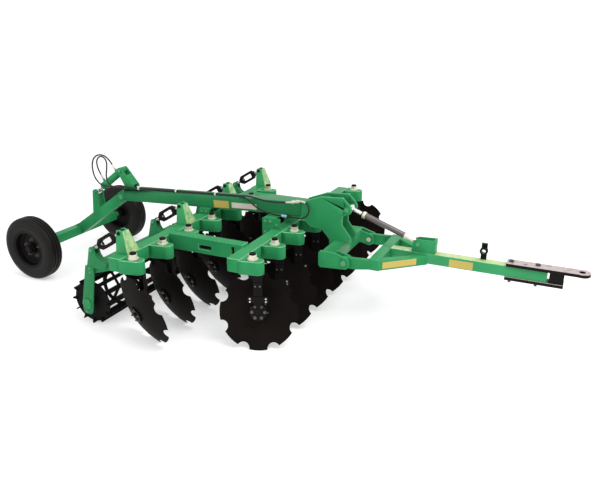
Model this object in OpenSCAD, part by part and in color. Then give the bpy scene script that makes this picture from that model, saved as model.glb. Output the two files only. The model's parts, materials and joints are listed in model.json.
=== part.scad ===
// Trailed two-row compact disc harrow with a cage roller and lifted rear transport wheels.
// Millimetres, +X forward, +Y left, +Z up, ground at Z = 0.

/* [Discs] */
// Disc diameter
disc_d = 560; // [450:10:660]
// Depth of the disc's bowl
disc_dish = 62; // [40:1:80]
// Blade thickness
disc_t = 6; // [4:0.5:8]
// Notches round each disc
notch_n = 8; // [6:1:14]
// Notch radius
notch_r = 46; // [20:1:70]
// Attack angle to the direction of travel
attack = 22; // [0:1:30]
// Lean of the disc back from upright
lean = 16; // [0:1:20]
// Discs in each row
row_n = 7; // [3:1:9]
// Spacing of discs in a row
pitch = 335; // [280:5:400]
// Distance between the two rows
row_gap = 754; // [600:1:1000]
// Sideways shift of each row from the middle
row_shift = 170; // [0:1:200]
// Rim centre out from the stand's bar
disc_off = 14; // [5:1:30]
// Bar ahead of the stand's shaft
bar_ahead = 38; // [20:1:50]

/* [Frame] */
// Side of the crossbeams' square tube
cross_s = 100; // [80:5:140]
// Height of the crossbeams' top
cross_top = 655; // [600:5:750]
// Gap from shaft to crossbeam face
shaft_gap = 80; // [60:1:120]
// Height of a disc bracket
bracket_h = 100; // [60:1:110]
// Side of the main beam
beam_s = 110; // [80:5:150]
// Slope of the main beam
beam_tilt = 3; // [0:0.5:5]
// Side members' distance from the middle
side_y = 620; // [400:10:800]
// Thickness of headstock plates
head_t = 18; // [10:1:25]

/* [Drawbar] */
// Side of the drawbar tube
tongue_s = 80; // [60:5:120]
// Drawbar pin height
hinge_z = 520; // [400:5:600]
// Drawbar pin position ahead of front shafts
hinge_x = 475; // [400:5:600]
// Radius of the hitch pin hole
hitch_r = 22; // [15:0.5:30]

/* [Roller] */
// Cage roller diameter
roller_d = 360; // [300:10:500]
// Bars of the cage
bar_n = 12; // [6:1:14]

/* [Wheels] */
// Tyre diameter
tyre_d = 568; // [480:2:700]
// Tyre width
tyre_w = 145; // [120:5:220]
// Half track
half_track = 590; // [450:5:800]

/* [Hidden] */
$fn = 48;
// all x places below are from the front row's shafts; the whole part is moved so its box is centred
x_shift = 268.5;
FRONT = 0; REAR = 1;
// row: shaft x, sideways shift, side the disc looks to
ROW = [[0, row_shift, -1], [-row_gap, -row_shift, 1]];
R_X = 0; R_Y = 1; R_SIDE = 2;
function shaft_y(row, i) = ROW[row][R_Y] + (i - (row_n - 1) / 2) * pitch;
cross_x = [for (r = ROW) r[R_X] - shaft_gap];   // front face of each crossbeam
// crossbeam ends: right, left
CROSS_END = [[-885, 1225], [-1225, 1045]];
rim_r = disc_d / 2;
disc_z = rim_r * cos(lean) + 0.5;
ball_r = (rim_r * rim_r + disc_dish * disc_dish) / (2 * disc_dish);
function bowl(r) = -disc_dish + ball_r - sqrt(ball_r * ball_r - r * r);
axle_r = 20;
stand_r = 24; stand_top = cross_top + 46;
// main beam
beam_x0 = -1750; beam_x1 = 190; beam_z0 = 657;
function beam_bottom(x) = beam_z0 + (x - beam_x0) * tan(beam_tilt);
beam_len = (beam_x1 - beam_x0) / cos(beam_tilt);
// lift linkage: arm hinge, tower pin, lever pin, wheel axle (x, z)
ARM = [-1792, 690]; TOWER = [-1795, 925]; LEVER = [-2115, 688]; AXLE = [-2385, tyre_d / 2];
// levelling linkage: headstock pin, drawbar bracket pin (x, z)
HEAD = [398, 848]; BRACKET = [951, 648];
function ang(a, b) = atan2(b[1] - a[1], b[0] - a[0]);
function len2(a, b) = norm(b - a);
// drawbar
tongue_z = 506; tongue_x0 = 743; tongue_x1 = 1862;
dcross_x = 663; dcross_z = 496;
hitch_x = 2077;
// roller
ROLL = [-1290, roller_d / 2 + 0.5];
// roller sections: right end, left end
SECTION = [[-1085, -105], [-5, 975]];
ARM_Y = [-1085, -360, 340, 970];
POST = [-912, 800]; LUG = [-1190, 630]; PIVOT = [-975, 600];
// lift cylinder ports along the barrel, and the hoses' routes from them
PORT = [70, 255];
hose_r = 6.5;
HOSE_CAP = [[-1884, 0, 928], [-1936, -3, 999], [-1984, -7, 1036], [-2040, -10, 1042], [-2091, -14, 1020], [-2120, -19, 974],
  [-2123, -27, 911], [-2093, -39, 832], [-2020, -51, 777], [-1927, -59, 770], [-1817, -59, 777], [-1704, -59, 785],
  [-1591, -52, 790], [-1479, -35, 792], [-1366, -27, 797], [-1253, -27, 803], [-1140, -27, 809], [-1027, -27, 815],
  [-914, -27, 821], [-801, -27, 827], [-688, -27, 833], [-575, -29, 839], [-471, -47, 849], [-383, -67, 846],
  [-286, -74, 837], [-185, -77, 841], [-74, -80, 853]];
HOSE_ROD = [[-2033, 0, 817], [-2072, -5, 898], [-2080, -10, 952], [-2072, -13, 991], [-2041, -16, 1023], [-2002, -20, 1031],
  [-1966, -24, 1015], [-1946, -30, 981], [-1943, -40, 931], [-1943, -54, 872], [-1930, -63, 821], [-1892, -70, 788],
  [-1838, -75, 782], [-1750, -75, 786], [-1638, -72, 790], [-1526, -58, 793], [-1413, -45, 795], [-1301, -43, 800],
  [-849, -43, 824], [-736, -43, 830], [-624, -46, 837], [-560, -52, 841], [-500, -63, 839], [-440, -80, 816],
  [-375, -98, 785], [-300, -114, 763], [-215, -126, 753], [-140, -130, 752], [-75, -130, 751], [-34, -128, 750],
  [8, -126, 750], [41, -124, 752], [70, -120, 763], [89, -114, 783], [97, -107, 811], [92, -100, 839],
  [75, -94, 861], [49, -89, 873], [16, -86, 875]];
// a smooth curve through a route's points, and a tube along it
function unit(v) = v / norm(v);
function spline(p, q, r, s, t) = 0.5 * (2 * q + (r - p) * t + (2 * p - 5 * q + 4 * r - s) * t * t + (3 * q - p - 3 * r + s) * t * t * t);
function curve(P) = let(n = len(P) - 1) concat([for (i = [0:n - 1]) let(m = max(1, round(norm(P[i + 1] - P[i]) / 38)))
  for (k = [0:m - 1]) spline(P[max(i - 1, 0)], P[i], P[i + 1], P[min(i + 2, n)], k / m)], [P[n]]);
function heading(C) = [for (i = [0:len(C) - 1]) unit(C[min(i + 1, len(C) - 1)] - C[max(i - 1, 0)])];
function carry(T, i, m) = i >= len(T) ? [] : let(w = unit(m - (m * T[i]) * T[i])) concat([w], carry(T, i + 1, w));
module tube(P, r, n) {
  C = curve(P); T = heading(C); M = carry(T, 0, [0, 1, 0]); e = len(C) - 1;
  polyhedron(points = [for (i = [0:e]) let(b = cross(T[i], M[i])) for (k = [0:n - 1])
      C[i] + r * (cos(360 * k / n) * M[i] + sin(360 * k / n) * b)],
    faces = concat([[for (k = [0:n - 1]) k]], [[for (k = [n - 1:-1:0]) e * n + k]],
      [for (i = [0:e - 1], k = [0:n - 1]) [i * n + k, (i + 1) * n + k, (i + 1) * n + (k + 1) % n]],
      [for (i = [0:e - 1], k = [0:n - 1]) [i * n + k, (i + 1) * n + (k + 1) % n, i * n + (k + 1) % n]]));
}
// a coupler from a hose's end p toward q
module coupler(p, q) {
  d = unit(q - p);
  translate(p + 1.0 * d) rotate([0, acos(d[2]), atan2(d[1], d[0])]) {
    cylinder(r = 10, h = 18); translate([0, 0, 15]) cylinder(r = 15, h = 20, $fn = 6); translate([0, 0, 34]) cylinder(r = 12, h = 13);
  }
}

// ---- shapes ----
module shift() { translate([x_shift, 0, 0]) children(); }
module box(a, b) { translate(a) cube(b - a); }
// an outline in x, z made into a plate from y0 to y1
module plate(y0, y1) { translate([0, y1, 0]) rotate([90, 0, 0]) linear_extrude(y1 - y0) children(); }
module pin(p, r, y0, y1) { translate([p[0], y0, p[1]]) rotate([-90, 0, 0]) cylinder(r = r, h = y1 - y0); }
module dot(p, r) { translate(p) circle(r = r); }
// turns local z to the disc's axis, at the rim's centre
module at_disc(row, i) {
  s = ROW[row][R_SIDE];
  translate([ROW[row][R_X] + bar_ahead + disc_off * sin(attack), shaft_y(row, i) + s * disc_off * cos(attack), disc_z])
    rotate([0, 0, s * (90 - attack)]) rotate([0, 90 - lean, 0]) children();
}
module beam_shape(grow) {
  translate([beam_x0, 0, beam_z0]) rotate([0, -beam_tilt, 0])
    translate([-grow, -beam_s / 2 - grow, 0]) cube([beam_len + 2 * grow, beam_s + 2 * grow, beam_s]);
}

// ---- discs ----
module disc_at(row, i) {
  shift() at_disc(row, i) {
    difference() {
      rotate_extrude($fn = 96) polygon(concat(
        [for (k = [0:7]) [rim_r * k / 7, bowl(rim_r * k / 7)]],
        [for (k = [7:-1:0]) [rim_r * k / 7, bowl(rim_r * k / 7) - disc_t]]));
      for (k = [0:notch_n - 1]) rotate([0, 0, 360 * (k + 0.5) / notch_n])
        translate([rim_r + 9, 0, -60]) cylinder(r = notch_r, h = 120);
    }
    // flange in the bowl, backing plate behind it, spindle that runs in the stand
    translate([0, 0, -disc_dish - 1]) cylinder(r = 70, h = 15);
    translate([0, 0, -disc_dish - disc_t - 8]) cylinder(r = 62, h = 10);
    translate([0, 0, -disc_dish + 12]) cylinder(r = axle_r, h = disc_dish - 7);
  }
}
// shaft down from the bracket, block and flat bar ahead of it, bearing housing in the disc's bowl
module stand_at(row, i) {
  s = ROW[row][R_SIDE];
  difference() {
    union() {
      translate([ROW[row][R_X], shaft_y(row, i), 0]) {
        translate([0, 0, 530]) cylinder(r = stand_r, h = stand_top - 530);
        box([-24, -26, 518], [bar_ahead + 24, 26, 554]);
        translate([bar_ahead, 0, 0]) rotate([0, 0, s * (90 - attack)]) translate([8, -32, 205]) cube([26, 64, 348]);
      }
      at_disc(row, i) {
        translate([0, 0, -disc_dish + 20]) cylinder(r = 54, h = disc_dish - 20);
        translate([0, 0, 14]) cylinder(r = 60, h = 14);
      }
    }
    at_disc(row, i) translate([0, 0, -disc_dish + 19]) cylinder(r = axle_r + 0.05, h = disc_dish - 11);
  }
}
module bracket_at(row, i) {
  translate([ROW[row][R_X], shaft_y(row, i), cross_top - bracket_h]) difference() {
    union() {
      linear_extrude(bracket_h) union() {
        polygon([[-shaft_gap, -66], [-40, -62], [0, -52], [bar_ahead, -46], [bar_ahead, 46], [0, 52], [-40, 62], [-shaft_gap, 66]]);
        translate([bar_ahead, 0]) circle(r = 46);
      }
    }
    translate([0, 0, -1]) cylinder(r = stand_r + 0.3, h = bracket_h + 2);
  }
}

// ---- frame ----
module main_beam() { color([0.16, 0.5, 0.3]) shift() {
  difference() { beam_shape(0); pin(ARM, 52, -46, 46); }
  // hinge lugs of the wheel arm
  for (s = [-1, 1]) plate(s * 54 - 8, s * 54 + 8) difference() {
    union() { dot(ARM, 44); polygon([[-1792, 646], [-1752, 657], [-1752, 766], [-1800, 733]]); }
    dot(ARM, 20.3);
  }
} }
module crossbeam(row) {
  e = CROSS_END[row];
  box([cross_x[row] - cross_s, e[0], cross_top - cross_s], [cross_x[row], e[1], cross_top]);
}
module front_crossbeam() { color([0.16, 0.5, 0.3]) shift() crossbeam(FRONT); }
module rear_crossbeam() { color([0.16, 0.5, 0.3]) shift() {
  crossbeam(REAR);
  // lugs that carry the roller arms
  for (y = ARM_Y, s = [-1, 1]) plate(y + s * 21 - 6, y + s * 21 + 6) difference() {
    union() { dot(PIVOT, 34); polygon([[-975, 566], [-934, 560], [-934, 650], [-975, 634]]); }
    dot(PIVOT, 14.3);
  }
} }
module side_members() { color([0.16, 0.5, 0.3]) shift()
  for (s = [-1, 1]) difference() {
    box([cross_x[REAR], s * side_y - 40, 552], [cross_x[FRONT] - cross_s, s * side_y + 40, 672]);
    box([-562, s * side_y + (s > 0 ? 20 : -41), 584], [-452, s * side_y + (s > 0 ? 41 : -20), 619]);
    box([-279, s * side_y + (s > 0 ? 20 : -41), 582], [-251, s * side_y + (s > 0 ? 41 : -20), 645]);
  }
}
module beam_saddles() { color([0.16, 0.5, 0.3]) shift() {
  difference() {
    union() {
      for (s = [-1, 1]) box([-265, s * 193 - 7, cross_top], [-110, s * 193 + 7, 760]);
      for (s = [-1, 1]) box([-265, s * 193 - 7, 570], [-180, s * 193 + 7, cross_top + 1]);
      box([-265, -200, 700], [-160, 200, 760]);
    }
    translate([beam_x0, -300, beam_z0]) rotate([0, -beam_tilt, 0]) cube([2200, 600, 300]);
    translate([beam_x0, -186, beam_z0 - 14]) rotate([0, -beam_tilt, 0]) translate([0, 0, -100]) cube([2200, 372, 100]);
  }
  difference() {
    union() {
      for (s = [-1, 1]) box([-934, s * 84 - 8, cross_top], [-834, s * 84 + 8, 720]);
      box([-934, -92, 670], [-834, 92, 730]);
    }
    translate([beam_x0, -300, beam_z0]) rotate([0, -beam_tilt, 0]) cube([2200, 600, 300]);
    translate([beam_x0, -76, beam_z0 - 14]) rotate([0, -beam_tilt, 0]) translate([0, 0, -100]) cube([2200, 152, 100]);
  }
} }
module headstock_plates() { color([0.16, 0.5, 0.3]) shift()
  for (s = [-1, 1]) plate(s * (beam_s / 2 + head_t / 2) - head_t / 2, s * (beam_s / 2 + head_t / 2) + head_t / 2)
    difference() {
      union() {
        polygon([[20, 745], [20, 868], [180, 930], [365, 940], [420, 888], [430, 830], [362, 790], [362, 722],
                 [432, 632], [432, 589], [400, 589], [300, 589], [300, 489], [262, 489], [256, 596], [186, 674], [100, 672]]);
        dot(HEAD, 38);
      }
      dot(HEAD, 15.3);
    }
}
module hinge_tube() { color([0.16, 0.5, 0.3]) shift() {
  box([300, -310, 489], [400, 310, 589]);
  // outer lugs close the tube's ends, inner lugs stand on its front face
  for (s = [-1, 1]) {
    plate(s * 319 - 9, s * 319 + 9) difference() {
      union() { polygon([[275, 475], [290, 460], [475, 472], [475, 568], [400, 592], [290, 592], [275, 577]]); dot([hinge_x, hinge_z], 48); }
      dot([hinge_x, hinge_z], 18.3);
    }
    plate(s * 256 - 9, s * 256 + 9) difference() {
      union() { polygon([[400, 490], [475, 472], [475, 568], [400, 588]]); dot([hinge_x, hinge_z], 48); }
      dot([hinge_x, hinge_z], 18.3);
    }
  }
} }
module front_brackets() { color([0.16, 0.5, 0.3]) shift() for (i = [0:row_n - 1]) bracket_at(FRONT, i); }
module rear_brackets() { color([0.16, 0.5, 0.3]) shift() for (i = [0:row_n - 1]) bracket_at(REAR, i); }
module front_stands() { color([0.08, 0.08, 0.08]) shift() for (i = [0:row_n - 1]) stand_at(FRONT, i); }
module rear_stands() { color([0.08, 0.08, 0.08]) shift() for (i = [0:row_n - 1]) stand_at(REAR, i); }
module stand_nuts() { color([0.8, 0.78, 0.7]) shift()
  for (row = [FRONT, REAR], i = [0:row_n - 1])
    translate([ROW[row][R_X], shaft_y(row, i), cross_top]) difference() {
      union() { cylinder(r = 37, h = 8); cylinder(r = 31, h = 38, $fn = 6); }
      translate([0, 0, -1]) cylinder(r = stand_r + 0.3, h = 60);
    }
}
module lift_tower() { color([0.16, 0.5, 0.3]) shift() {
  plate(-32, 32) polygon([[-1731, 891], [-1661, 807], [-1667, 802], [-1737, 886]]);
  for (s = [-1, 1]) plate(s * 38 - 7, s * 38 + 7) difference() {
    union() {
      dot(TOWER, 27);
      difference() {
        polygon([[-1824, 922], [-1808, 949], [-1772, 940], [-1655, 800], [-1655, 760], [-1728, 750]]);
        translate([beam_x0, beam_z0]) rotate(beam_tilt) square([400, beam_s]);
      }
    }
    dot(TOWER, 15.3);
  }
} }
module frame_pins() { color([0.3, 0.3, 0.3]) shift() {
  pin(TOWER, 15, -52, 52);
  pin(HEAD, 15, -80, 80);
  for (s = [-1, 1]) pin([hinge_x, hinge_z], 18, s > 0 ? 243 : -336, s > 0 ? 336 : -243);
  pin(ARM, 20, -70, 70);
  for (y = ARM_Y) { pin(PIVOT, 14, y - 33, y + 33); }
} }
// a tapered post with a sloping front, slotted for the turnbuckle's eye
module roller_posts() { color([0.16, 0.5, 0.3]) shift()
  for (y = ARM_Y) difference() {
    union() {
      hull() {
        box([-934, y - 55, cross_top], [-834, y + 75, cross_top + 8]);
        box([-934, y - 32, 808], [-878, y + 32, 818]);
      }
      pin(POST, 24, y - 32, y + 32);
    }
    box([-960, y - 20, 725], [POST[0] + 22, y + 20, 840]);
    pin(POST, 12.3, y - 90, y + 90);
  }
}
module roller_frame(k) {
  e = SECTION[k];
  box([-1255, e[0] - 26, 440], [-1195, e[1] + 26, 500]);
  for (s = [0, 1]) {
    y0 = s == 0 ? e[0] - 36 : e[1] + 26;
    plate(y0, y0 + 10) difference() {
      polygon([[-1262, 500], [-1190, 500], [-1190, 430], [-1245, 120], [-1262, 95], [-1318, 95], [-1335, 120], [-1335, 190]]);
      dot(ROLL, 20.1);
    }
  }
  for (y = [ARM_Y[2 * k], ARM_Y[2 * k + 1]]) {
    plate(y - 13, y + 13) difference() {
      union() {
        polygon([[-1256, 440], [-1256, 505], [-1150, 550], [-1060, 545], [-975, 632], [-975, 568], [-1040, 490], [-1195, 440]]);
        dot(PIVOT, 32);
      }
      dot(PIVOT, 14.3);
    }
    // lever with a fork that holds the turnbuckle's lower eye
    plate(y - 31, y + 31) polygon([[-1252, 490], [-1232, 560], [-1222, 598], [-1163, 598], [-1140, 566], [-1100, 548], [-1060, 540], [-1075, 500], [-1150, 490]]);
    for (s = [-1, 1]) plate(y + s * 25 - 6, y + s * 25 + 6) difference() {
      union() { polygon([[-1224, 590], [-1214, 634], [-1167, 638], [-1158, 590]]); dot(LUG, 24); }
      dot(LUG, 12.3);
    }
  }
}
module roller_frame_right() { color([0.16, 0.5, 0.3]) shift() roller_frame(0); }
module roller_frame_left() { color([0.16, 0.5, 0.3]) shift() roller_frame(1); }
module turnbuckles() { color([0.12, 0.12, 0.12]) shift()
  for (y = ARM_Y) {
    l = len2(LUG, POST);
    pin(LUG, 12, y - 38, y + 38);
    pin(POST, 12, y - 42, y + 42);
    translate([LUG[0], y, LUG[1]]) rotate([0, -ang(LUG, POST), 0]) {
      // open link with a threaded rod and an eye at each end
      plate(-17, 17) difference() {
        polygon([[60, -14], [96, -43], [222, -43], [258, -14], [258, 14], [222, 43], [96, 43], [60, 14]]);
        polygon([[100, -12], [111, -20], [207, -20], [218, -12], [218, 12], [207, 20], [111, 20], [100, 12]]);
      }
      for (e = [0, l]) translate([e, 16, 0]) rotate([90, 0, 0]) cylinder(r = 20, h = 32);
      translate([10, 0, 0]) rotate([0, 90, 0]) cylinder(r = 11, h = 100);
      translate([210, 0, 0]) rotate([0, 90, 0]) cylinder(r = 11, h = l - 220);
    }
  }
}

module hose_lift_cap() { color([0.05, 0.05, 0.05]) shift() tube(HOSE_CAP, hose_r, 8); }
module hose_lift_rod() { color([0.05, 0.05, 0.05]) shift() tube(HOSE_ROD, hose_r, 8); }
module hose_couplers() { color([0.7, 0.68, 0.6]) shift() {
  a = HOSE_CAP[len(HOSE_CAP) - 1]; b = HOSE_ROD[len(HOSE_ROD) - 1];
  coupler(a, b);
  coupler(b, a);
} }

// ---- drawbar ----
module drawbar_frame() { color([0.16, 0.5, 0.3]) shift() {
  box([dcross_x, -305, dcross_z], [dcross_x + 80, 305, dcross_z + 80]);
  for (s = [-1, 1]) {
    plate(s * 287.5 - 17.5, s * 287.5 + 17.5) difference() {
      union() { dot([hinge_x, hinge_z], 42); polygon([[475, 478], [560, 478], [665, 496], [665, 570], [560, 562], [475, 562]]); }
      dot([hinge_x, hinge_z], 18.05);
    }
    translate([0, 0, 500]) linear_extrude(72)
      polygon([[tongue_x0 - 1, s * 305], [tongue_x0 - 1, s * 225], [960, s * 40], [1030, s * 40]]);
  }
} }
module drawbar_tube() { color([0.16, 0.5, 0.3]) shift() difference() {
  box([tongue_x0, -tongue_s / 2, tongue_z], [tongue_x1, tongue_s / 2, tongue_z + tongue_s]);
  for (x = [1616, 1793]) translate([x, 0, tongue_z - 1]) cylinder(r = 10.3, h = tongue_s + 2);
} }
module strut_bracket() { color([0.16, 0.5, 0.3]) shift() {
  union() {
    for (s = [-1, 1]) plate(s * 33 - 6, s * 33 + 6) union() {
      polygon([[905, 586], [1080, 586], [1080, 690], [951, 684], [915, 672]]); dot(BRACKET, 36);
    }
    box([1066, -33, 586], [1080, 33, 690]);
    pin(BRACKET, 15, -46, 46);
  }
} }
module hose_post() { color([0.16, 0.5, 0.3]) shift() difference() {
  union() {
    box([1400, 14, 586], [1442, 22, 714]);
    translate([1421, 22, 657]) rotate([90, 0, 0]) cylinder(r = 27, h = 34);
  }
  translate([1421, 23, 657]) rotate([90, 0, 0]) cylinder(r = 15, h = 36);
} }
module hitch_plates() { color([0.12, 0.11, 0.11]) shift() {
  difference() {
    translate([0, 0, tongue_z + tongue_s]) linear_extrude(22) difference() {
      union() { translate([1586, -50]) square([hitch_x - 1586, 100]); dot([hitch_x, 0], 55); }
      dot([hitch_x, 0], hitch_r); dot([1616, 0], 10.3); dot([1793, 0], 10.3);
    }
  }
  translate([0, 0, tongue_z - 22]) linear_extrude(22) difference() {
    translate([1584, -50]) square([388, 100]);
    dot([1616, 0], 10.3); dot([1793, 0], 10.3);
  }
  box([1876, -38, tongue_z], [1970, 38, tongue_z + tongue_s]);
} }
module hitch_bolts() { color([0.3, 0.3, 0.3]) shift()
  for (x = [1616, 1793]) translate([x, 0, 0]) {
    translate([0, 0, tongue_z - 52]) cylinder(r = 10, h = tongue_s + 90);
    translate([0, 0, tongue_z + tongue_s + 22]) cylinder(r = 17, h = 14, $fn = 6);
    translate([0, 0, tongue_z - 40]) cylinder(r = 17, h = 18, $fn = 6);
  }
}

// ---- cylinders: barrel from p toward q, rod from q back toward p ----
module barrel(p, q, r, r_rod, w, from, to) {
  translate([p[0], 0, p[1]]) rotate([0, -ang(p, q), 0]) difference() {
    union() {
      translate([0, w / 2, 0]) rotate([90, 0, 0]) cylinder(r = 27, h = w);
      translate([0, 0, 0]) rotate([0, 90, 0]) cylinder(r = 17, h = from + 5);
      translate([from, 0, 0]) rotate([0, 90, 0]) cylinder(r = r, h = to - from);
      translate([to - 26, 0, 0]) rotate([0, 90, 0]) cylinder(r = r + 3, h = 26);
    }
    translate([0, w, 0]) rotate([90, 0, 0]) cylinder(r = 15.05, h = 2 * w);
    translate([from + 15, 0, 0]) rotate([0, 90, 0]) cylinder(r = r_rod + 0.05, h = to);
  }
}
module rod(p, q, r_rod, w, start) {
  l = len2(p, q);
  translate([p[0], 0, p[1]]) rotate([0, -ang(p, q), 0]) difference() {
    union() {
      translate([start, 0, 0]) rotate([0, 90, 0]) cylinder(r = r_rod, h = l - start - 10);
      translate([l, w / 2, 0]) rotate([90, 0, 0]) cylinder(r = 27, h = w);
    }
    translate([l, w, 0]) rotate([90, 0, 0]) cylinder(r = 20, h = 2 * w);
  }
}
module level_barrel() { color([0.5, 0.45, 0.45]) shift() barrel(BRACKET, HEAD, 22, 15, 44, 122, 478); }
module level_rod() { color([0.85, 0.85, 0.85]) shift() rod(BRACKET, HEAD, 15, 60, 330); }
module lift_barrel() { color([0.16, 0.5, 0.3]) shift() {
  barrel(TOWER, LEVER, 33, 18, 50, 40, 300);
  translate([TOWER[0], 0, TOWER[1]]) rotate([0, -ang(TOWER, LEVER), 0])
    for (t = PORT) translate([t, 0, -53.5]) cylinder(r = 11, h = 25);
} }
module lift_rod() { color([0.85, 0.85, 0.85]) shift() rod(TOWER, LEVER, 18, 50, 190); }

// ---- wheels ----
module wheel_arm() { color([0.16, 0.5, 0.3]) shift() {
  difference() {
    plate(-40, 40) difference() {
      union() {
        dot(ARM, 44);
        polygon([[-1775, 730], [-1775, 650], [AXLE[0] + 40, 244], [AXLE[0] - 40, 244], [AXLE[0] - 40, 324], [AXLE[0] + 20, 352], [-1810, 730]]);
      }
      dot(ARM, 20.05);
    }
    box([AXLE[0] - 42, -41, 243], [AXLE[0] + 40, 41, 324]);
  }
  // lever that the cylinder pushes
  for (s = [-1, 1]) plate(s * 36 - 7, s * 36 + 7) union() {
    dot(LEVER, 28); polygon([[-2143, 688], [-2087, 688], [-2078, 500], [-2170, 440]]);
  }
  pin(LEVER, 15, -50, 50);
} }
module axle() { color([0.16, 0.5, 0.3]) shift() {
  box([AXLE[0] - 40, -470, AXLE[1] - 40], [AXLE[0] + 40, 470, AXLE[1] + 40]);
  for (s = [-1, 1]) pin(AXLE, 25, s > 0 ? 469 : -(half_track + 40), s > 0 ? half_track + 40 : -469);
} }
module rim(s) {
  translate([AXLE[0], s * half_track, AXLE[1]]) rotate([-90 * s, 0, 0]) difference() {
    union() {
      rotate_extrude() polygon([[150, -62], [172, -66], [172, -58], [160, -52], [160, 52], [172, 58], [172, 66], [150, 62]]);
      translate([0, 0, 0]) cylinder(r = 152, h = 10);
      translate([0, 0, -70]) cylinder(r = 48, h = 110);
      translate([0, 0, 40]) cylinder(r = 36, h = 22);
    }
    translate([0, 0, -80]) cylinder(r = 25.05, h = 125);
  }
}
module tyre(s) {
  h = tyre_w / 2; r = tyre_d / 2;
  translate([AXLE[0], s * half_track, AXLE[1]]) rotate([-90 * s, 0, 0])
    rotate_extrude($fn = 96) polygon([[172.3, -66], [186, -70], [215, -h], [245, -h + 1], [268, -h + 8], [r - 6, -h + 20], [r, -h + 36],
      [r, h - 36], [r - 6, h - 20], [268, h - 8], [245, h - 1], [215, h], [186, 70], [172.3, 66]]);
}
module rim_right() { color([0.1, 0.1, 0.1]) shift() rim(-1); }
module rim_left() { color([0.1, 0.1, 0.1]) shift() rim(1); }
module tyre_right() { color([0.08, 0.08, 0.08]) shift() tyre(-1); }
module tyre_left() { color([0.08, 0.08, 0.08]) shift() tyre(1); }

// ---- cage rollers ----
module roller(k) {
  e = SECTION[k]; l = e[1] - e[0]; r = roller_d / 2;
  translate([ROLL[0], e[0], ROLL[1]]) rotate([-90, 0, 0]) {
    translate([0, 0, -36]) cylinder(r = 20, h = l + 72);
    translate([0, 0, -18]) cylinder(r = 28, h = 60);
    translate([0, 0, l - 42]) cylinder(r = 28, h = 60);
    for (t = [20, l - 28]) translate([0, 0, t]) cylinder(r = r - 14, h = 8);
    for (t = [l / 3, 2 * l / 3]) translate([0, 0, t - 4]) {
      difference() { cylinder(r = r - 14, h = 8); translate([0, 0, -1]) cylinder(r = r - 48, h = 10); }
      for (a = [0:2]) rotate([0, 0, 120 * a]) translate([0, -12, 0]) cube([r - 40, 24, 8]);
    }
    for (a = [0:bar_n - 1]) rotate([0, 0, 360 * a / bar_n]) translate([r - 36, -5, 0]) cube([36, 10, l]);
  }
}
module roller_right() { color([0.1, 0.1, 0.1]) shift() roller(0); }
module roller_left() { color([0.1, 0.1, 0.1]) shift() roller(1); }

module disc_front_1() { color([0.1, 0.09, 0.08]) disc_at(FRONT, 0); }
module disc_front_2() { color([0.1, 0.09, 0.08]) disc_at(FRONT, 1); }
module disc_front_3() { color([0.1, 0.09, 0.08]) disc_at(FRONT, 2); }
module disc_front_4() { color([0.1, 0.09, 0.08]) disc_at(FRONT, 3); }
module disc_front_5() { color([0.1, 0.09, 0.08]) disc_at(FRONT, 4); }
module disc_front_6() { color([0.1, 0.09, 0.08]) disc_at(FRONT, 5); }
module disc_front_7() { color([0.1, 0.09, 0.08]) disc_at(FRONT, 6); }
module disc_rear_1() { color([0.1, 0.09, 0.08]) disc_at(REAR, 0); }
module disc_rear_2() { color([0.1, 0.09, 0.08]) disc_at(REAR, 1); }
module disc_rear_3() { color([0.1, 0.09, 0.08]) disc_at(REAR, 2); }
module disc_rear_4() { color([0.1, 0.09, 0.08]) disc_at(REAR, 3); }
module disc_rear_5() { color([0.1, 0.09, 0.08]) disc_at(REAR, 4); }
module disc_rear_6() { color([0.1, 0.09, 0.08]) disc_at(REAR, 5); }
module disc_rear_7() { color([0.1, 0.09, 0.08]) disc_at(REAR, 6); }

main_beam();
front_crossbeam();
rear_crossbeam();
side_members();
beam_saddles();
headstock_plates();
hinge_tube();
front_brackets();
rear_brackets();
front_stands();
rear_stands();
stand_nuts();
lift_tower();
frame_pins();
roller_posts();
roller_frame_right();
roller_frame_left();
turnbuckles();
hose_lift_cap();
hose_lift_rod();
hose_couplers();
drawbar_frame();
drawbar_tube();
strut_bracket();
hose_post();
hitch_plates();
hitch_bolts();
level_barrel();
level_rod();
lift_barrel();
lift_rod();
wheel_arm();
axle();
rim_right();
tyre_right();
rim_left();
tyre_left();
roller_right();
roller_left();
disc_front_1();
disc_front_2();
disc_front_3();
disc_front_4();
disc_front_5();
disc_front_6();
disc_front_7();
disc_rear_1();
disc_rear_2();
disc_rear_3();
disc_rear_4();
disc_rear_5();
disc_rear_6();
disc_rear_7();
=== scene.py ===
import bpy, bmesh, math, json, random
from mathutils import Vector, Matrix


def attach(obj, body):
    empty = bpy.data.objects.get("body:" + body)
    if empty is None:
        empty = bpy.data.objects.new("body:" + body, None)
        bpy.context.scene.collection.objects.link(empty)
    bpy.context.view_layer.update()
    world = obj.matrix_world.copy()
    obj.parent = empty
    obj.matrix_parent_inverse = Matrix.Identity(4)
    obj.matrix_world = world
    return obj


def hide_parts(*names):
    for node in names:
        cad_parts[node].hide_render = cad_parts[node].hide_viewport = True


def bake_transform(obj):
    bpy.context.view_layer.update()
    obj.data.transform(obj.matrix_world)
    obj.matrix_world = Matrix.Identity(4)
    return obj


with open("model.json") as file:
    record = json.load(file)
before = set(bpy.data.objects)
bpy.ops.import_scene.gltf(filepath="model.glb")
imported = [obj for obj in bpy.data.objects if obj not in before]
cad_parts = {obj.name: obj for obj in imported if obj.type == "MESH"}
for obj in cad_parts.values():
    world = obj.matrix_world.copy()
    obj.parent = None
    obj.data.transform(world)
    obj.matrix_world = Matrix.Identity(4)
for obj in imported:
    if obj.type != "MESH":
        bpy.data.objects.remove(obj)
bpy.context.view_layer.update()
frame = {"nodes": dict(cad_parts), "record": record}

N = frame["nodes"]
scene = bpy.context.scene
random.seed(7)
XS = 0.2685                       # the part's shift along x

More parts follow.
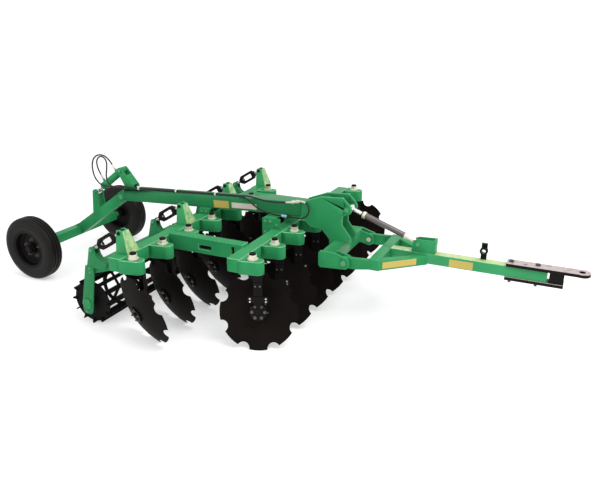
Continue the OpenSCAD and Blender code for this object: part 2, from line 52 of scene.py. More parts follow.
def P(x, y, z):
    """Millimetres from the front shafts to metres in the row frame."""
    return Vector((x / 1000 + XS, y / 1000, z / 1000))

# ---------------------------------------------------------------- camera
cam_data = bpy.data.cameras.new("camera")
cam_data.sensor_fit = "HORIZONTAL"
cam_data.sensor_width = 36.0
cam_data.lens = 620.0 / 599.0 * 36.0
cam_data.clip_end = 400
cam = bpy.data.objects.new("camera", cam_data)
scene.collection.objects.link(cam)
cam.location = (2.2397, -4.3079, 2.2383)
cam.rotation_euler = (math.radians(90 - 20.81), 0, math.radians(24.94))
scene.camera = cam

# ---------------------------------------------------------------- materials
def new_mat(name):
    m = bpy.data.materials.new(name)
    m.use_nodes = True
    nt = m.node_tree
    return m, nt, nt.nodes["Principled BSDF"]

def node(nt, kind, **kw):
    n = nt.nodes.new(kind)
    for k, v in kw.items():
        if k in n.inputs:
            n.inputs[k].default_value = v
        else:
            setattr(n, k, v)
    return n

def ramp(nt, src, stops):
    r = nt.nodes.new("ShaderNodeValToRGB")
    e = r.color_ramp.elements
    while len(e) < len(stops):
        e.new(0.5)
    for i, (p, c) in enumerate(stops):
        e[i].position = p
        e[i].color = (c[0], c[1], c[2], 1) if len(c) == 3 else c
    nt.links.new(src, r.inputs[0])
    return r

def mix(nt, fac, a, b, blend="MIX"):
    m = nt.nodes.new("ShaderNodeMix")
    m.data_type = "RGBA"
    m.blend_type = blend
    for sock, val in ((m.inputs["Factor"], fac), (m.inputs["A"], a), (m.inputs["B"], b)):
        if hasattr(val, "links") or hasattr(val, "is_linked"):
            nt.links.new(val, sock)
        else:
            sock.default_value = val if isinstance(val, (int, float)) else (*val[:3], 1)
    return m.outputs["Result"]

def paint(name, base, dark, rough=0.35, bump=0.06, face_highlight=None, face_highlight_amount=0.55, coat=0.25, metallic=0.0, scale=1.0, spec=0.5, wear=None, facing="Z", face_highlight_from=0.22, face_highlight_to=0.62):
    """Sprayed paint: broad tone changes, fine orange peel, a pale painted highlight on what faces the chosen axis (up
    by default), worn edges where asked.
    """
    m, nt, b = new_mat(name)
    tc = node(nt, "ShaderNodeTexCoord")
    big = node(nt, "ShaderNodeTexNoise", Scale=3.2 * scale, Detail=5.0, Roughness=0.6)
    nt.links.new(tc.outputs["Object"], big.inputs["Vector"])
    col = ramp(nt, big.outputs["Fac"], [(0.3, dark), (0.68, base)]).outputs[0]
    fine = node(nt, "ShaderNodeTexNoise", Scale=26.0 * scale, Detail=6.0, Roughness=0.65)
    nt.links.new(tc.outputs["Object"], fine.inputs["Vector"])
    geo = node(nt, "ShaderNodeNewGeometry")
    # faces turned towards the chosen axis get a pale painted highlight, broken up by the fine noise
    if face_highlight:
        sep = node(nt, "ShaderNodeSeparateXYZ")
        nt.links.new(geo.outputs["Normal"], sep.inputs[0])
        up = node(nt, "ShaderNodeMath", operation="MULTIPLY")
        nt.links.new(sep.outputs[facing], up.inputs[0])
        nt.links.new(fine.outputs["Fac"], up.inputs[1])
        d = face_highlight_amount
        fac = ramp(nt, up.outputs[0], [(face_highlight_from, (0, 0, 0)), (face_highlight_to, (d, d, d))]).outputs[0]
        col = mix(nt, fac, col, face_highlight)
    if wear:
        sharp = node(nt, "ShaderNodeMath", operation="MULTIPLY")
        nt.links.new(geo.outputs["Pointiness"], sharp.inputs[0])
        nt.links.new(fine.outputs["Fac"], sharp.inputs[1])
        fac = ramp(nt, sharp.outputs[0], [(0.30, (0, 0, 0)), (0.36, (0.75, 0.75, 0.75))]).outputs[0]
        col = mix(nt, fac, col, wear)
    nt.links.new(col, b.inputs["Base Color"])
    peel = node(nt, "ShaderNodeTexNoise", Scale=180.0 * scale, Detail=3.0)
    nt.links.new(tc.outputs["Object"], peel.inputs["Vector"])
    rr = node(nt, "ShaderNodeMapRange")
    nt.links.new(big.outputs["Fac"], rr.inputs["Value"])
    rr.inputs["To Min"].default_value = max(rough - 0.07, 0.04)
    rr.inputs["To Max"].default_value = rough + 0.12
    nt.links.new(rr.outputs[0], b.inputs["Roughness"])
    bm = node(nt, "ShaderNodeBump", Strength=bump, Distance=0.002)
    nt.links.new(peel.outputs["Fac"], bm.inputs["Height"])
    nt.links.new(bm.outputs[0], b.inputs["Normal"])
    b.inputs["Metallic"].default_value = metallic
    b.inputs["Coat Weight"].default_value = coat
    b.inputs["Coat Roughness"].default_value = 0.25
    b.inputs["Specular IOR Level"].default_value = spec
    return m

# the main green, with a faint pale painted highlight on its up-facing faces
GREEN = paint("green_paint", (0.0275, 0.258, 0.090), (0.0185, 0.204, 0.069), rough=0.32, face_highlight=(0.26, 0.54, 0.26), face_highlight_amount=0.04, coat=0.0, spec=0.08)
# a darker copy of the main green: painted shade, used on the main beam and the roller frames
GREEN_SHADED = paint("green_shaded", (0.0225, 0.194, 0.070), (0.0150, 0.154, 0.054), rough=0.34, face_highlight=(0.26, 0.54, 0.26), face_highlight_amount=0.04, coat=0.0, spec=0.08)
# paler, glossier green for the bevel faces along the edges: a painted highlight, with more of it where the edges face
# up
EDGE_HIGHLIGHT = paint("green_edge_highlight", (0.072, 0.37, 0.160), (0.032, 0.27, 0.100), rough=0.25, face_highlight=(0.55, 0.76, 0.50), face_highlight_amount=0.55, coat=0.0, spec=0.3, face_highlight_from=0.26, face_highlight_to=0.56, scale=1.6)
# post green: faces turned along x are painted pale, a painted highlight on the posts' front faces
POST = paint("green_post", (0.027, 0.285, 0.096), (0.018, 0.225, 0.074), rough=0.34, face_highlight=(0.48, 0.62, 0.30), face_highlight_amount=0.95, coat=0.0, spec=0.24, facing="X")
# drawbar tube green: a strong pale painted highlight on its up-facing faces
TUBE = paint("green_tube", (0.030, 0.285, 0.100), (0.020, 0.235, 0.080), rough=0.32, face_highlight=(0.50, 0.57, 0.26), face_highlight_amount=0.85, coat=0.0, spec=0.28, face_highlight_from=0.2, face_highlight_to=0.45)
PIN = paint("green_pin", (0.085, 0.30, 0.150), (0.050, 0.22, 0.10), rough=0.36, coat=0.0, scale=4.0, spec=0.3)
BLACK = paint("black_paint", (0.0075, 0.0065, 0.006), (0.004, 0.0035, 0.0035), rough=0.5, coat=0.0, spec=0.08)
DISC = paint("disc_black", (0.0085, 0.0062, 0.0055), (0.004, 0.0032, 0.003), rough=0.5, coat=0.0, bump=0.05, spec=0.03)
ROLLER = paint("roller_black", (0.010, 0.0095, 0.009), (0.005, 0.005, 0.005), rough=0.55, coat=0.0, spec=0.04)
BARREL = paint("barrel_grey", (0.085, 0.062, 0.060), (0.050, 0.038, 0.037), rough=0.22, spec=0.7)
# black hitch paint, painted pale on its up-facing faces: a painted highlight
HITCH = paint("hitch_black", (0.006, 0.0054, 0.005), (0.004, 0.0035, 0.0033), rough=0.42, face_highlight=(0.47, 0.40, 0.39), face_highlight_amount=0.85, coat=0.0, spec=0.1, face_highlight_from=0.25, face_highlight_to=0.46)
RUBBER = paint("tyre_rubber", (0.0085, 0.0076, 0.007), (0.0045, 0.004, 0.0038), rough=0.46, coat=0.0, bump=0.22, spec=0.14)
HOSE = paint("hose_rubber", (0.010, 0.010, 0.010), (0.005, 0.005, 0.005), rough=0.5, coat=0.0, bump=0.1, spec=0.35)
ZINC = paint("zinc_plate", (0.78, 0.74, 0.62), (0.60, 0.56, 0.45), rough=0.36, metallic=0.55, coat=0.0, scale=4.0)
STEEL = paint("bright_bolt", (0.62, 0.62, 0.60), (0.42, 0.42, 0.41), rough=0.35, metallic=0.7, coat=0.0, scale=4.0)
DULL = paint("dull_bolt", (0.115, 0.11, 0.105), (0.06, 0.057, 0.055), rough=0.42, metallic=0.5, coat=0.0, scale=4.0)
CHROME = paint("rod_chrome", (0.86, 0.86, 0.86), (0.72, 0.72, 0.73), rough=0.14, metallic=1.0, coat=0.0, bump=0.01)
YELLOW = paint("label_yellow", (0.50, 0.385, 0.080), (0.43, 0.325, 0.066), rough=0.4, bump=0.02, coat=0.0)
WHITE = paint("label_white", (0.62, 0.57, 0.48), (0.52, 0.47, 0.40), rough=0.4, bump=0.02, coat=0.0)
BLUE = paint("cap_blue", (0.24, 0.42, 0.60), (0.18, 0.33, 0.50), rough=0.4, bump=0.02, coat=0.0, scale=4.0)
TIE = paint("tie_white", (0.78, 0.78, 0.76), (0.66, 0.66, 0.64), rough=0.45, bump=0.02, coat=0.0, scale=4.0)

SLOT_MAT = {"frame_paint": GREEN, "disc_steel": DISC, "tyre": RUBBER, "rim_paint": BLACK, "roller_paint": ROLLER,
            "black_paint": BLACK, "zinc": ZINC, "rod_chrome": CHROME, "barrel_paint": BARREL, "hitch_paint": HITCH,
            "hose_rubber": HOSE}
BEVEL = {"frame_paint": 0.004}
# the main beam and roller frames take the painted-shade green; the posts and the drawbar tube take greens with painted
# highlights
NODE_MAT = {"main_beam": GREEN_SHADED, "roller_frame_right": GREEN_SHADED, "roller_frame_left": GREEN_SHADED, "roller_posts": POST, "drawbar_tube": TUBE, "hitch_bolts": DULL}
for sp in frame["record"]["subparts"]:
    o = N[sp["node"]]
    o.data.materials.clear()
    o.data.materials.append(NODE_MAT.get(sp["node"], SLOT_MAT[sp["material_slot"]]))
    if sp["material_slot"] == "frame_paint":
        # every painted frame part gets the painted edge highlight as its second slot
        o.data.materials.append(EDGE_HIGHLIGHT)
    o.data.polygons.foreach_set("use_smooth", [True] * len(o.data.polygons))
    o.data.set_sharp_from_angle(angle=math.radians(32))
    w = BEVEL.get(sp["material_slot"])
    if w and sp["node"] not in ("beam_saddles",):
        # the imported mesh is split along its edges, and a bevel needs them joined
        j = o.modifiers.new("join", "WELD")
        j.merge_threshold = 0.00002
        b = o.modifiers.new("edge", "BEVEL")
        b.width = w
        b.segments = 2
        b.limit_method = "ANGLE"
        b.angle_limit = math.radians(40)
        b.harden_normals = True
        # the bevel faces take the second slot, the painted edge highlight
        b.material = 1

# ---------------------------------------------------------------- mesh code
class Build:
    """Collects rings, sweeps and bolts into one mesh with several materials."""
    def __init__(self):
        self.v, self.f, self.m = [], [], []

    def add(self, verts, faces, M=None, mi=0):
        k = len(self.v)
        self.v += [(M @ Vector(p)) if M is not None else Vector(p) for p in verts]
        self.f += [tuple(i + k for i in f) for f in faces]
        self.m += [mi] * len(faces)

    def lathe(self, prof, n, M=None, mi=0, closed=False):
        """Turns (r, z) points round z; a point on the axis becomes a pole."""
        v, f, rows = [], [], []
        for r, z in prof:
            if r < 1e-7:
                rows.append([len(v)])
                v.append((0, 0, z))
            else:
                rows.append(list(range(len(v), len(v) + n)))
                v += [(r * math.cos(2 * math.pi * k / n), r * math.sin(2 * math.pi * k / n), z) for k in range(n)]
        pairs = list(zip(rows, rows[1:])) + ([(rows[-1], rows[0])] if closed else [])
        for a, b in pairs:
            for k in range(n):
                j = (k + 1) % n
                if len(a) == 1 and len(b) > 1:
                    f.append((a[0], b[j], b[k]))
                elif len(b) == 1 and len(a) > 1:
                    f.append((a[k], a[j], b[0]))
                elif len(a) > 1:
                    f.append((a[k], a[j], b[j], b[k]))
        self.add(v, f, M, mi)

    def bolt(self, p, d, r=0.009, h=0.008, mi=0, washer=True, stud=0.0, turn=0.0):
        """A hexagon head or nut with a chamfered crown on a washer, standing on p along d."""
        q = Vector(d).normalized().to_track_quat("Z", "Y").to_matrix().to_4x4()
        M = Matrix.Translation(p) @ q @ Matrix.Rotation(turn, 4, "Z")
        w = 0.0
        if washer:
            w = 0.0022
            self.lathe([(r * 1.45, -0.0005), (r * 1.45, w * 0.7), (r * 1.36, w), (0.0, w)], 18, M, mi)
        self.lathe([(r, w), (r, w + h * 0.78), (r * 0.86, w + h), (0.0, w + h)], 6, M, mi)
        if stud:
            self.lathe([(r * 0.52, w + h - 0.001), (r * 0.52, w + h + stud * 0.8), (r * 0.42, w + h + stud), (0.0, w + h + stud)], 12, M, mi)

    def disc(self, p, d, r, h, mi=0, n=24, edge=0.0012):
        """A round boss with a broken edge."""
        q = Vector(d).normalized().to_track_quat("Z", "Y").to_matrix().to_4x4()
        self.lathe([(r, -0.0005), (r, h - edge), (r - edge, h), (0.0, h)], n, Matrix.Translation(p) @ q, mi)

    def slab(self, M, sx, sy, sz, c=0.0015, mi=0):
        """A flat plate with broken top edges, from z = 0 to sz, centred in x and y."""
        a, b = sx / 2, sy / 2
        def ring(x, y, z, k):
            return [(x - k, y, z), (x, y - k, z), (x, -y + k, z), (x - k, -y, z), (-x + k, -y, z), (-x, -y + k, z), (-x, y - k, z), (-x + k, y, z)]
        v = ring(a, b, 0, c * 2) + ring(a, b, sz - c, c * 2) + ring(a - c, b - c, sz, c * 2)
        f = []
        for r in (0, 8):
            for k in range(8):
                j = (k + 1) % 8
                f.append((r + k, r + 8 + k, r + 8 + j, r + j))
        f.append(tuple(range(23, 15, -1)))
        f.append(tuple(range(8)))
        self.add(v, f, M, mi)

    def tube(self, pts, r, n, mi=0, caps=True, radii=None):
        T = [(pts[min(i + 1, len(pts) - 1)] - pts[max(i - 1, 0)]).normalized() for i in range(len(pts))]
        m = Vector((0, 1, 0))
        v, f = [], []
        for i, (p, t) in enumerate(zip(pts, T)):
            m = (m - m.dot(t) * t).normalized()
            b = t.cross(m)
            rr = radii[i] if radii else r
            v += [p + rr * (math.cos(2 * math.pi * k / n) * m + math.sin(2 * math.pi * k / n) * b) for k in range(n)]
        for i in range(len(pts) - 1):
            for k in range(n):
                j = (k + 1) % n
                f.append((i * n + k, i * n + j, (i + 1) * n + j, (i + 1) * n + k))
        if caps:
            f.append(tuple(range(n - 1, -1, -1)))
            f.append(tuple((len(pts) - 1) * n + k for k in range(n)))
        self.add(v, f, None, mi)

    def make(self, name, mats, sharp=35):
        me = bpy.data.meshes.new(name)
        me.from_pydata([tuple(p) for p in self.v], [], self.f)
        for m in mats:
            me.materials.append(m)
        me.polygons.foreach_set("material_index", self.m)
        bm = bmesh.new()
        bm.from_mesh(me)
        bmesh.ops.recalc_face_normals(bm, faces=bm.faces)
        bm.to_mesh(me)
        bm.free()
        me.polygons.foreach_set("use_smooth", [True] * len(me.polygons))
        me.set_sharp_from_angle(angle=math.radians(sharp))
        me.update()
        o = bpy.data.objects.new(name, me)
        scene.collection.objects.link(o)
        return o

# ---------------------------------------------------------------- hoses, on the routes of the part's source
HOSE_CAP = [(-1884, 0, 928), (-1936, -3, 999), (-1984, -7, 1036), (-2040, -10, 1042), (-2091, -14, 1020), (-2120, -19, 974),
  (-2123, -27, 911), (-2093, -39, 832), (-2020, -51, 777), (-1927, -59, 770), (-1817, -59, 777), (-1704, -59, 785),
  (-1591, -52, 790), (-1479, -35, 792), (-1366, -27, 797), (-1253, -27, 803), (-1140, -27, 809), (-1027, -27, 815),
  (-914, -27, 821), (-801, -27, 827), (-688, -27, 833), (-575, -29, 839), (-471, -47, 849), (-383, -67, 846),
  (-286, -74, 837), (-185, -77, 841), (-74, -80, 853)]
HOSE_ROD = [(-2033, 0, 817), (-2072, -5, 898), (-2080, -10, 952), (-2072, -13, 991), (-2041, -16, 1023), (-2002, -20, 1031),
  (-1966, -24, 1015), (-1946, -30, 981), (-1943, -40, 931), (-1943, -54, 872), (-1930, -63, 821), (-1892, -70, 788),
  (-1838, -75, 782), (-1750, -75, 786), (-1638, -72, 790), (-1526, -58, 793), (-1413, -45, 795), (-1301, -43, 800),
  (-849, -43, 824), (-736, -43, 830), (-624, -46, 837), (-560, -52, 841), (-500, -63, 839), (-440, -80, 816),
  (-375, -98, 785), (-300, -114, 763), (-215, -126, 753), (-140, -130, 752), (-75, -130, 751), (-34, -128, 750),
  (8, -126, 750), (41, -124, 752), (70, -120, 763), (89, -114, 783), (97, -107, 811), (92, -100, 839),
  (75, -94, 861), (49, -89, 873), (16, -86, 875)]

def spline(route, step=0.016):
    pts = [P(*p) for p in route]
    n = len(pts) - 1
    out = []
    for i in range(n):
        p, q, r, s = pts[max(i - 1, 0)], pts[i], pts[i + 1], pts[min(i + 2, n)]
        m = max(1, round((r - q).length / step))
        for k in range(m):
            t = k / m
            out.append(0.5 * (2 * q + (r - p) * t + (2 * p - 5 * q + 4 * r - s) * t * t + (3 * q - p - 3 * r + s) * t ** 3))
    out.append(pts[n])
    return out

hose_paths = {}
for name, route in (("hose_lift_cap", HOSE_CAP), ("hose_lift_rod", HOSE_ROD)):
    path = spline(route)
    hose_paths[name] = path
    B = Build()
    B.tube(path, 0.0065, 12)
    o = B.make(name + "_rubber", [HOSE], sharp=60)
    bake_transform(o)
    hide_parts(name)
    # crimped ferrule at the port
    F = Build()
    k = 4
    F.tube(path[:k], 0.0088, 16, radii=[0.0088, 0.0092, 0.0088, 0.0082])
    d = (path[1] - path[0]).normalized()
    F.bolt(path[0] - 0.013 * d, d, r=0.0125, h=0.014, washer=False)
    fer = F.make(name + "_ferrule", [STEEL])
    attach(fer, "lift_cylinder_barrel")
    # ferrule at the coupler
    G = Build()
    G.tube(path[-4:], 0.0088, 16, radii=[0.0082, 0.0088, 0.0092, 0.0088])
    end = G.make(name + "_end", [STEEL])
    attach(end, "frame")

# sleeve round both hoses on the beam, with ties
S = Build()
def along(name, x):
    """The point of a hose over the beam at x."""
    return min((p for p in hose_paths[name] if p.z < 0.9 and p.x < P(-300, 0, 0).x), key=lambda p: abs(p.x - P(x, 0, 0).x))
def between(x):
    a, b = along("hose_lift_cap", x), along("hose_lift_rod", x)
    return Vector((P(x, 0, 0).x, 0.5 * (a.y + b.y), 0.5 * (a.z + b.z)))
mid = [between(x) for x in (-1590, -1540, -1490, -1440, -1390, -1330, -1260, -1180)]
line = []
for a, b in zip(mid, mid[1:]):
    m = max(1, int((b - a).length / 0.006))
    line += [a + (b - a) * k / m for k in range(m)]
line.append(mid[-1])
v, f = [], []
for i, p in enumerate(line):
    wob = 1.0 + (0.05 if i % 2 else 0.0)
    for k in range(20):
        a = 2 * math.pi * k / 20
        v.append(p + Vector((0, 0.0185 * wob * math.cos(a), 0.0012 + 0.0105 * wob * math.sin(a))))
for i in range(len(line) - 1):
    for k in range(20):
        j = (k + 1) % 20
        f.append((i * 20 + k, i * 20 + j, (i + 1) * 20 + j, (i + 1) * 20 + k))
S.add(v, f, None, 0)
for x in (-1575, -1190, -790):
    c = between(x) + Vector((0, 0, 0.001))
    ring = []
    for k in range(25):
        a = 2 * math.pi * k / 24
        ring.append(c + Vector((0, 0.0212 * math.cos(a), 0.0125 * math.sin(a))))
    for dx in (-0.004, 0.0, 0.004):
        S.tube([p + Vector((dx, 0, 0)) for p in ring], 0.0028, 6, mi=1, caps=False)
    q = c + Vector((0, -0.018, 0.012))
    S.slab(Matrix.Translation(q), 0.012, 0.012, 0.012, c=0.001, mi=1)
sl = S.make("hose_sleeve", [HOSE, TIE])
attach(sl, "frame")

C = Build()
path = hose_paths["hose_lift_rod"]
k = min((i for i in range(len(path)) if path[i].z < 0.76 and path[i].x > P(-300, 0, 0).x), key=lambda i: abs(path[i].x - P(-110, 0, 0).x))
p = path[k]
d = (path[k + 1] - path[k - 1]).normalized()
C.tube([p - 0.022 * d, p - 0.02 * d, p + 0.02 * d, p + 0.022 * d], 0.011, 16, radii=[0.0095, 0.011, 0.011, 0.0095])
o = C.make("hose_marker", [BLUE])
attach(o, "frame")

# ---------------------------------------------------------------- discs: bolts on hub, cap and backing plate
ATTACK, LEAN, AHEAD = math.radians(22), math.radians(16), 38
disc_z = 280 * math.cos(LEAN) + 0.5
ROWS = {"front": (0, 170, -1), "rear": (-754, -170, 1)}
def shaft(row, i):
    x, sh, s = ROWS[row]
    return x, sh + (i - 3) * 335, s
def disc_frame(row, i):
    x, y, s = shaft(row, i)
    o = P(x + AHEAD + 14 * math.sin(ATTACK), y + s * 14 * math.cos(ATTACK), disc_z)
    return Matrix.Translation(o) @ Matrix.Rotation(s * (math.pi / 2 - ATTACK), 4, "Z") @ Matrix.Rotation(math.pi / 2 - LEAN, 4, "Y")

SB = Build()
for row in ROWS:
    for i in range(7):
        M = disc_frame(row, i)
        ax = M.to_3x3() @ Vector((0, 0, 1))
        D = Build()
        for k in range(6):
            a = math.radians(60 * k + 15)
            D.bolt(M @ Vector((0.0615 * math.cos(a), 0.0615 * math.sin(a), -0.048)), ax, r=0.0062, h=0.004, washer=False, mi=0)
            D.bolt(M @ Vector((0.047 * math.cos(a), 0.047 * math.sin(a), -0.076)), -ax, r=0.0085, h=0.008, stud=0.004, mi=0)
        D.disc(M @ Vector((0, 0, -0.076)), -ax, 0.026, 0.009, mi=1, edge=0.004)
        o = D.make("disc_%s_%d_bolts" % (row, i + 1), [DULL, DISC])
        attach(o, "disc_%s_%d" % (row, i + 1))
        # bolts on the bearing cap, and the clamp on the bar above it
        for k in range(6):
            a = math.radians(60 * k + 30)
            SB.bolt(M @ Vector((0.046 * math.cos(a), 0.046 * math.sin(a), 0.028)), ax, r=0.0082, h=0.007, mi=0)
        SB.disc(M @ Vector((0, 0, 0.028)), ax, 0.024, 0.008, mi=1, edge=0.004)
        x, y, s = shaft(row, i)
        R = Matrix.Translation(P(x + AHEAD, y, 0)) @ Matrix.Rotation(s * (math.pi / 2 - ATTACK), 4, "Z")
        for z in (0.372, 0.478):
            SB.slab(R @ Matrix.Translation((0.034, 0, z)) @ Matrix.Rotation(math.pi / 2, 4, "Y"), 0.046, 0.150 if z < 0.4 else 0.062, 0.008, mi=1)
            for w in ((-0.056, 0.056) if z < 0.4 else (-0.017, 0.017)):
                for dz in ((-0.011, 0.011) if z < 0.4 else (0.0,)):
                    SB.bolt(R @ Vector((0.042, w, z + dz)), R.to_3x3() @ Vector((1, 0, 0)), r=0.0075, h=0.006, mi=2 if z < 0.4 else 0, washer=False)
        # top of the shaft, dark, with its centre hole
        T = Matrix.Translation(P(x, y, 701))
        SB.lathe([(0.0235, -0.001), (0.0235, 0.002), (0.021, 0.004), (0.008, 0.004), (0.006, 0.0), (0.0, 0.0)], 24, T, 1)
o = SB.make("stand_bolts", [DULL, BLACK, STEEL])
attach(o, "frame")

# ---------------------------------------------------------------- bolts and pin heads on the frame
FB = Build()
for x, z in ((-240, 712), (-194, 715), (-140, 690), (-238, 622)):
    for s in (-1, 1):
        FB.bolt(P(x, s * 200, z), (0, s, 0), r=0.010, h=0.008)
for x in (-905, -863):
    for s in (-1, 1):
        FB.bolt(P(x, s * 92, 678), (0, s, 0), r=0.009, h=0.007)
def pin_head(x, y, z, s, r, build=FB, mi=1):
    build.disc(P(x, y, z), (0, s, 0), r * 1.5, 0.005, mi=mi)
    build.disc(P(x, y + s * 5, z), (0, s, 0), r, 0.006, mi=0)
for s in (-1, 1):
    pin_head(-1795, s * 45, 925, s, 0.015)
    pin_head(398, s * 73, 848, s, 0.017)
    pin_head(475, s * 328, 520, s, 0.020)
    pin_head(-1792, s * 62, 690, s, 0.021)
ARM_Y = [-1085, -360, 340, 970]
for y in ARM_Y:
    for s in (-1, 1):
        pin_head(-975, y + s * 27, 600, s, 0.014)
        pin_head(-1190, y + s * 31, 630, s, 0.012)
        # clamp bolts through the post's foot
        for x in (-918, -850):
            FB.bolt(P(x, y + (s * 66 if s > 0 else -46), 656.5 + 6.5), (0, 0, 1), r=0.008, h=0.006, washer=False)
# roller bearings on the side plates
for e in ((-1085, -105), (-5, 975)):
    for y, s in ((e[0] - 36, -1), (e[1] + 36, 1)):
        c = P(-1290, y, 180.5)
        FB.lathe([(0.042, -0.0005), (0.042, 0.006), (0.038, 0.0085), (0.022, 0.0085), (0.020, 0.0065), (0.0, 0.0065)], 32,
                 Matrix.Translation(c) @ Vector((0, s, 0)).to_track_quat("Z", "Y").to_matrix().to_4x4(), 1)
        for k in range(4):
            a = math.radians(45 + 90 * k)
            FB.bolt(c + Vector((0.031 * math.cos(a), s * 0.0085, 0.031 * math.sin(a))), (0, s, 0), r=0.006, h=0.004, washer=False)
        for x, z in ((-1222, 480), (-1222, 452)):
            FB.bolt(P(x, y, z), (0, s, 0), r=0.008, h=0.006)
        FB.bolt(P(-1300, y, 116), (0, s, 0), r=0.008, h=0.006)
o = FB.make("frame_bolts", [PIN, GREEN, BLACK])
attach(o, "frame")

DB = Build()
for s in (-1, 1):
    pin_head(951, s * 39, 648, s, 0.015, DB)
# grommet in the hose post's ring
DB.lathe([(0.0275, -0.034), (0.0285, -0.032), (0.0285, -0.010), (0.0275, -0.0085)], 28,
         Matrix.Translation(P(1421, 22, 657)) @ Vector((0, 1, 0)).to_track_quat("Z", "Y").to_matrix().to_4x4(), 2)
# dark facing on the post above and below the ring, and on the ring's face
for z, h in ((695, 0.030), (613, 0.044)):
    DB.slab(Matrix.Translation(P(1421, 13.6, z)) @ Matrix.Rotation(math.pi / 2, 4, "X"), 0.040, h, 0.0008, c=0.0002, mi=2)
DB.lathe([(0.0152, -0.0346), (0.0275, -0.0346), (0.0275, -0.0341), (0.0152, -0.0341)], 36,
         Matrix.Translation(P(1421, 22, 657)) @ Vector((0, 1, 0)).to_track_quat("Z", "Y").to_matrix().to_4x4(), 2)
o = DB.make("drawbar_pins", [PIN, GREEN, BLACK])
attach(o, "drawbar")

# ---------------------------------------------------------------- blank labels
def sticker(name, M, sx, sy, mat, body):
    L = Build()
    L.slab(M, sx, sy, 0.0006, c=0.0002)
    o = L.make(name, [mat])
    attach(o, body)
side = Matrix.Rotation(math.pi / 2, 4, "X")          # local z to -y
tilt = Matrix.Rotation(math.radians(-3), 4, "Y")
def on_beam(x, h):
    return Matrix.Translation(P(x, -55, 657 + (x + 1750) * math.tan(math.radians(3)) + h)) @ tilt @ side
sticker("label_beam_1", on_beam(-730, 40), 0.148, 0.062, YELLOW, "frame")
sticker("label_beam_2", on_beam(-511, 40), 0.236, 0.046, WHITE, "frame")
sticker("label_tube", Matrix.Translation(P(1276, -40, 541)) @ side, 0.170, 0.058, YELLOW, "drawbar")
d = Vector((288, 265, 0)).normalized()
n = Vector((265, -288, 0)).normalized()
M = Matrix((( d.x, 0, n.x, 0), (d.y, 0, n.y, 0), (0, 1, 0, 0), (0, 0, 0, 1)))
c = P(742 + 0.42 * 288, -305 + 0.42 * 265, 536)
sticker("label_brace", Matrix.Translation(c) @ M, 0.272, 0.050, YELLOW, "drawbar")

# black sheets inside the openings in the side members: painted shade for their dark insides
for s in (-1, 1):
    D = Build()
    turn = Matrix.Rotation(-s * math.pi / 2, 4, "X")
    for x, z, sx, sz in ((-507, 601.5, 0.109, 0.034), (-265, 613.5, 0.027, 0.062)):
        D.slab(Matrix.Translation(P(x, s * 640.3, z)) @ turn, sx, sz, 0.0012, c=0.0003)
    o = D.make("painted_shade_opening_%s" % ("right" if s < 0 else "left"), [BLACK])
    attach(o, "frame")

# ---------------------------------------------------------------- cylinders: gland nuts, bands and zinc collars
def axis_frame(p, q):
    d = (P(q[0], 0, q[1]) - P(p[0], 0, p[1])).normalized()
    return Matrix.Translation(P(p[0], 0, p[1])) @ d.to_track_quat("Z", "Y").to_matrix().to_4x4()
for name, p, q, r, to, rod, body in (("lift", (-1795, 925), (-2115, 688), 0.033, 0.300, 0.018, "lift_cylinder_barrel"),
                                     ("level", (951, 648), (398, 848), 0.022, 0.478, 0.015, "level_cylinder_barrel")):
    G = Build()
    M = axis_frame(p, q)
    G.lathe([(rod + 0.0012, to - 0.002), (r - 0.003, to - 0.0005), (r - 0.003, to + 0.006), (r - 0.006, to + 0.009), (rod + 0.0012, to + 0.009)], 28, M, 0)
    for z in (to - 0.024, to - 0.004):
        G.lathe([(r + 0.0028, z - 0.002), (r + 0.0036, z - 0.001), (r + 0.0036, z + 0.001), (r + 0.0028, z + 0.002)], 36, M, 0)
    if name == "level":
        G.lathe([(r + 0.0031, to - 0.0255), (r + 0.0048, to - 0.024), (r + 0.0048, to - 0.006), (r + 0.0036, to - 0.002), (r + 0.0031, to - 0.002)], 40, M, 1)
        G.lathe([(0.0171, 0.030), (0.0190, 0.032), (0.0175, 0.070), (0.0175, 0.096), (0.0232, 0.104), (0.0240, 0.107), (0.0240, 0.1195), (0.0222, 0.1225), (0.0171, 0.1225)], 36, M, 1)
    o = G.make(name + "_gland", [BLACK, ZINC])
    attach(o, body)

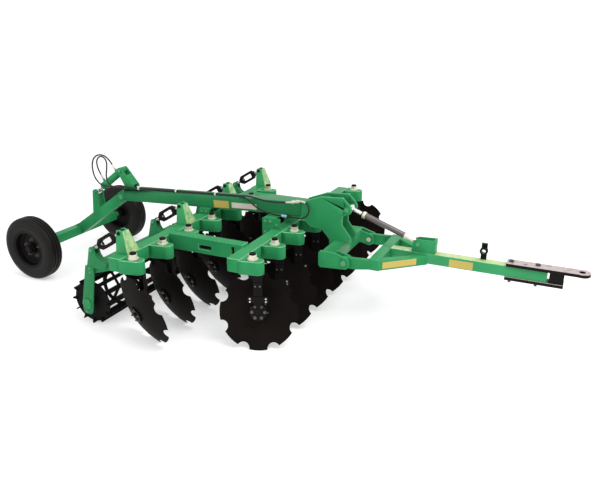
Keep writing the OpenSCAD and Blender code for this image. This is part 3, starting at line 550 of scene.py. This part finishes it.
# ---------------------------------------------------------------- wheels
for s, nm in ((-1, "right"), (1, "left")):
    c = P(-2385, s * 590, 284)
    M = Matrix.Translation(c) @ Matrix.Rotation(-s * math.pi / 2, 4, "X")
    W = Build()
    h, r = 0.0725, 0.284
    half = [(0.1723, 0.066), (0.1765, 0.0695), (0.183, 0.0705), (0.186, 0.0695), (0.192, 0.0712), (0.205, 0.0722), (0.216, 0.0725), (0.2165, 0.0712), (0.221, 0.0712),
            (0.2215, 0.0725), (0.232, 0.0722), (0.245, 0.0712), (0.252, 0.0692), (0.2535, 0.0670), (0.2565, 0.0665), (0.259, 0.0668), (0.268, 0.0625), (0.276, 0.0555), (0.2805, 0.0480),
            (0.2825, 0.0400), (0.2835, 0.0330), (0.2765, 0.0315), (0.2765, 0.0255), (0.2838, 0.0240), (0.284, 0.0160), (0.284, 0.0085), (0.2768, 0.0070), (0.2768, 0.0010)]
    prof = half + [(a, -b) for a, b in reversed(half)]
    W.lathe(prof, 144, M, 0)
    o = W.make("tyre_%s_tread" % nm, [RUBBER], sharp=28)
    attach(o, "wheel_" + nm)
    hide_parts("tyre_" + nm)
    H = Build()
    ax = Vector((0, s, 0))
    for k in range(5):
        a = math.radians(72 * k + 18)
        H.bolt(M @ Vector((0.078 * math.cos(a), 0.078 * math.sin(a), 0.010)), ax, r=0.011, h=0.012, stud=0.006, mi=0)
    H.disc(M @ Vector((0, 0, 0.062)), ax, 0.030, 0.008, mi=1, edge=0.004)
    for k in range(8):
        a = math.radians(45 * k)
        H.lathe([(0.0125, 0.0), (0.0125, 0.0022), (0.0095, 0.0022), (0.0085, 0.0004), (0.0, 0.0004)], 18, M @ Matrix.Translation((0.118 * math.cos(a), 0.118 * math.sin(a), 0.010)), 1)
    H.lathe([(0.150, 0.009), (0.150, 0.0145), (0.146, 0.0165), (0.138, 0.012), (0.132, 0.009)], 72, M, 1)
    a = math.radians(100)
    H.tube([M @ Vector((0.146 * math.cos(a), 0.146 * math.sin(a), 0.02)), M @ Vector((0.138 * math.cos(a), 0.138 * math.sin(a), 0.045)), M @ Vector((0.134 * math.cos(a), 0.134 * math.sin(a), 0.056))], 0.004, 10, mi=1)
    o = H.make("wheel_%s_hub" % nm, [DULL, BLACK])
    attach(o, "wheel_" + nm)

# turnbuckle rods: bright thread that shows in the open link and at its ends
TB = Build()
ax = (P(-912, 0, 800) - P(-1190, 0, 630))
l = ax.length
ax.normalize()
for y in ARM_Y:
    p0 = P(-1190, y, 630)
    for a, b in ((0.021, 0.0595), (0.1005, 0.1095), (0.2105, 0.2175), (0.2585, l - 0.021)):
        m = max(4, int((b - a) / 0.003))
        pts = [p0 + ax * (a + (b - a) * k / m) for k in range(m + 1)]
        TB.tube(pts, 0.0113, 16, radii=[0.0113 if k % 2 else 0.0121 for k in range(m + 1)])
o = TB.make("turnbuckle_threads", [STEEL])
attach(o, "frame")

# ---------------------------------------------------------------- floor and light
me = bpy.data.meshes.new("floor")
me.from_pydata([(-150, -150, 0), (150, -150, 0), (150, 150, 0), (-150, 150, 0)], [], [(0, 1, 2, 3)])
floor = bpy.data.objects.new("floor", me)
scene.collection.objects.link(floor)
floor.location.z = -0.001
fm, nt, b = new_mat("floor_pale")
tc = node(nt, "ShaderNodeTexCoord")
nz = node(nt, "ShaderNodeTexNoise", Scale=0.6, Detail=4.0)
nt.links.new(tc.outputs["Object"], nz.inputs["Vector"])
c = ramp(nt, nz.outputs["Fac"], [(0.0, (0.62, 0.62, 0.62)), (1.0, (0.65, 0.65, 0.65))])
nt.links.new(c.outputs[0], b.inputs["Base Color"])
b.inputs["Roughness"].default_value = 0.9
b.inputs["Specular IOR Level"].default_value = 0.0
b.inputs["Emission Color"].default_value = (1.0, 1.0, 1.0, 1)
b.inputs["Emission Strength"].default_value = 0.42
me.materials.append(fm)

w = bpy.data.worlds.new("studio")
scene.world = w
w.use_nodes = True
w.node_tree.nodes["Background"].inputs[0].default_value = (1.0, 1.0, 1.0, 1)
w.node_tree.nodes["Background"].inputs[1].default_value = 1.0

def area(name, loc, target, size, power):
    d = bpy.data.lights.new(name, "AREA")
    d.shape = "DISK"
    d.size = size
    d.energy = power
    o = bpy.data.objects.new(name, d)
    scene.collection.objects.link(o)
    o.location = loc
    o.rotation_euler = (Vector(target) - Vector(loc)).to_track_quat("-Z", "Y").to_euler()
    return o

area("key", (3.5, -1.5, 6.0), (0.3, 0, 0.3), 4.0, 260)
area("fill", (-3.5, -5.0, 3.5), (-0.5, 0, 0.3), 4.0, 60)
scene.view_settings.view_transform = "Standard"
scene.view_settings.look = "None"
